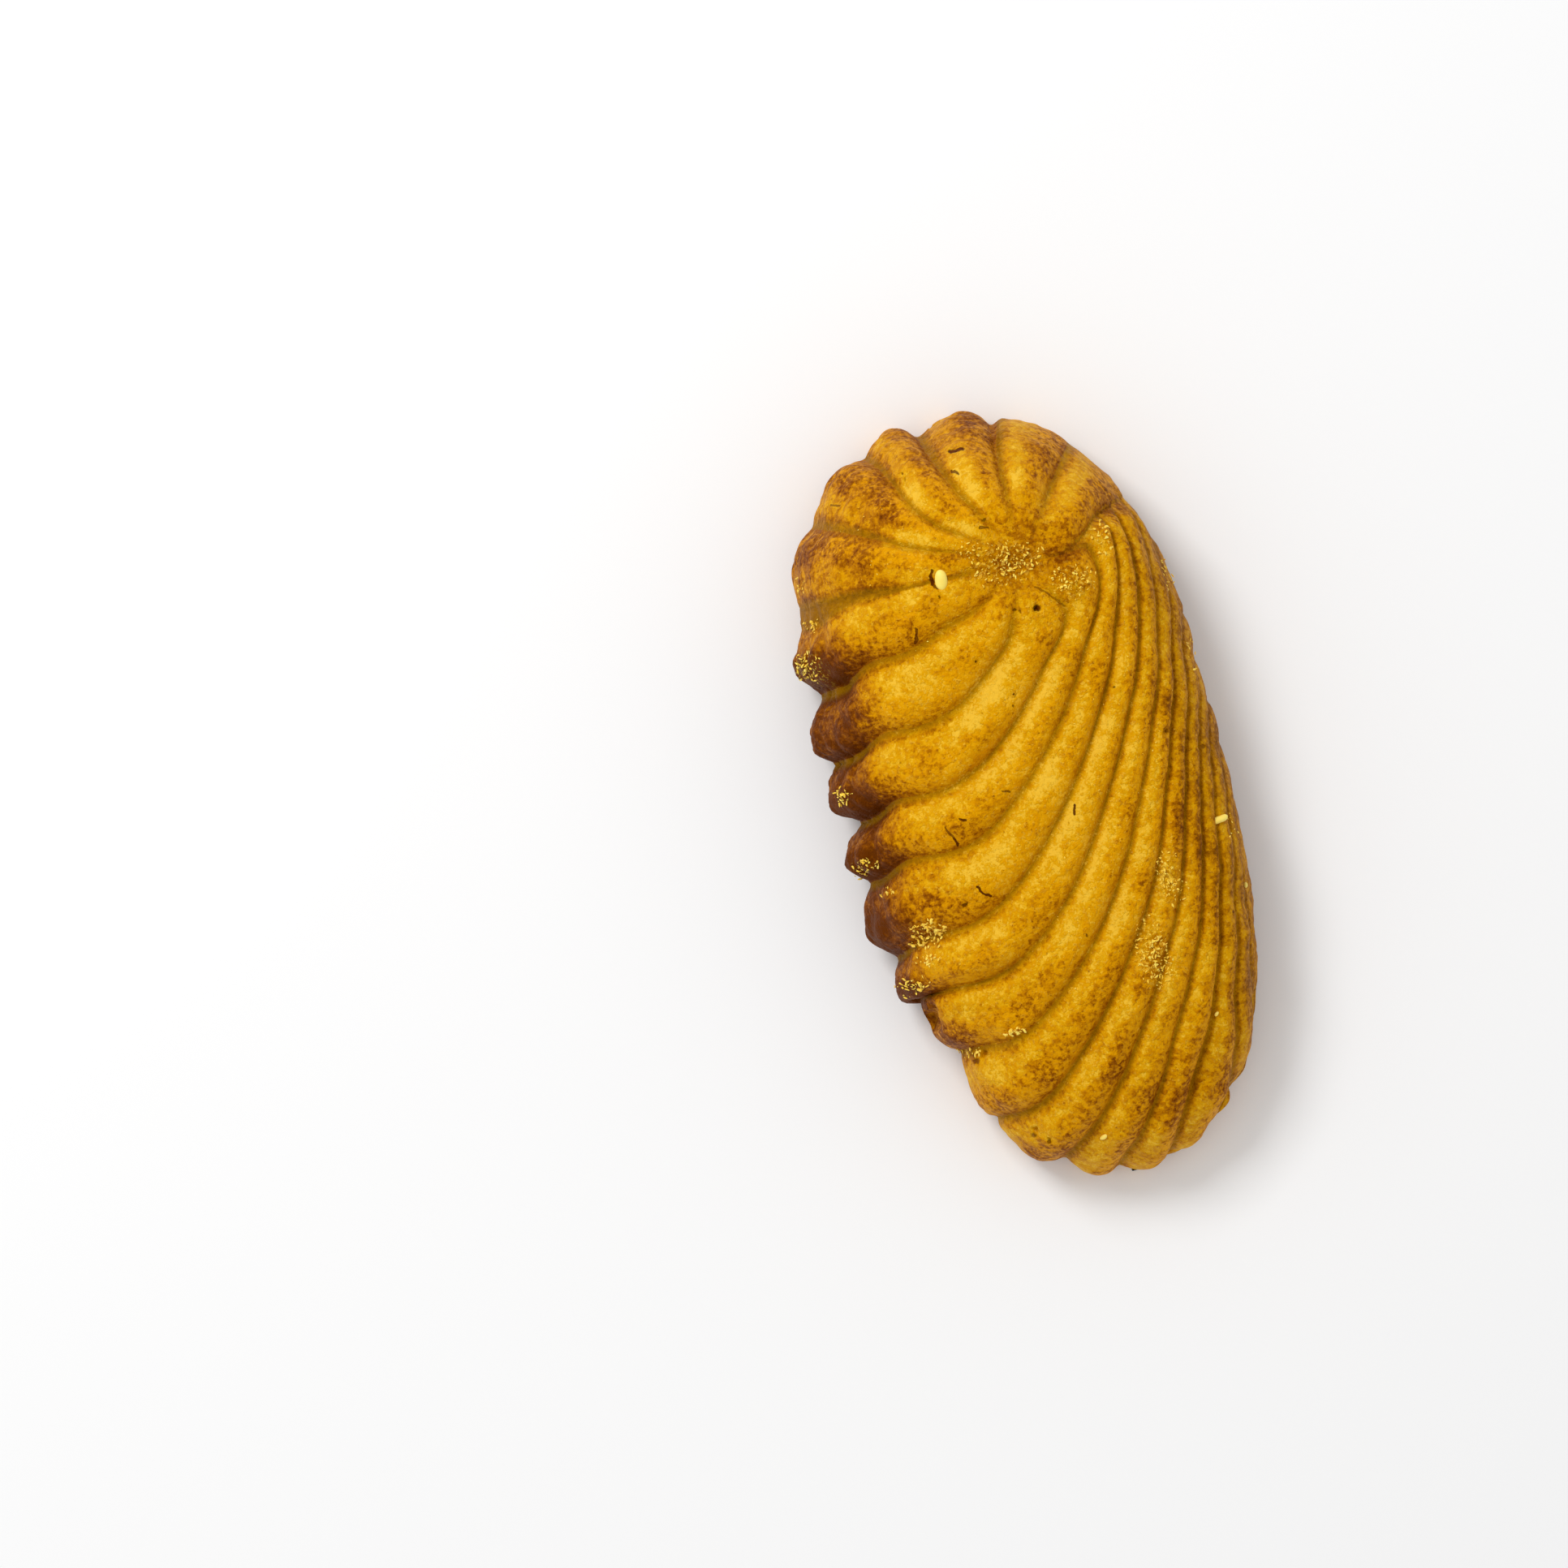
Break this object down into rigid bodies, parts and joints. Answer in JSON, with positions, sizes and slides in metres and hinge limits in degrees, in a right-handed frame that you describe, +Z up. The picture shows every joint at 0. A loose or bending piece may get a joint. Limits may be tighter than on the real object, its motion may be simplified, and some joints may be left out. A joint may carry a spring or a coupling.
{
  "type": "piped sweet biscuit",
  "caption": "Oval piped sweet taralli biscuit, golden brown, with slanting ridges, a rosette at one end and a flat underside.",
  "frame": {"origin": "centre of the bounding box at the level of the flat underside", "axes": "+Y along the log from the plain tail to the rosette end, +X to the steep right flank, +Z up away from the tray"},
  "size_m": [0.04, 0.0771, 0.0215],
  "materials": {
    "baked_dough": "baked sweet dough, golden with browner ridge crests and tips, dry and matte"
  },
  "bodies": {
    "root": {"biscuit": "baked_dough"}
  },
  "joints": []
}
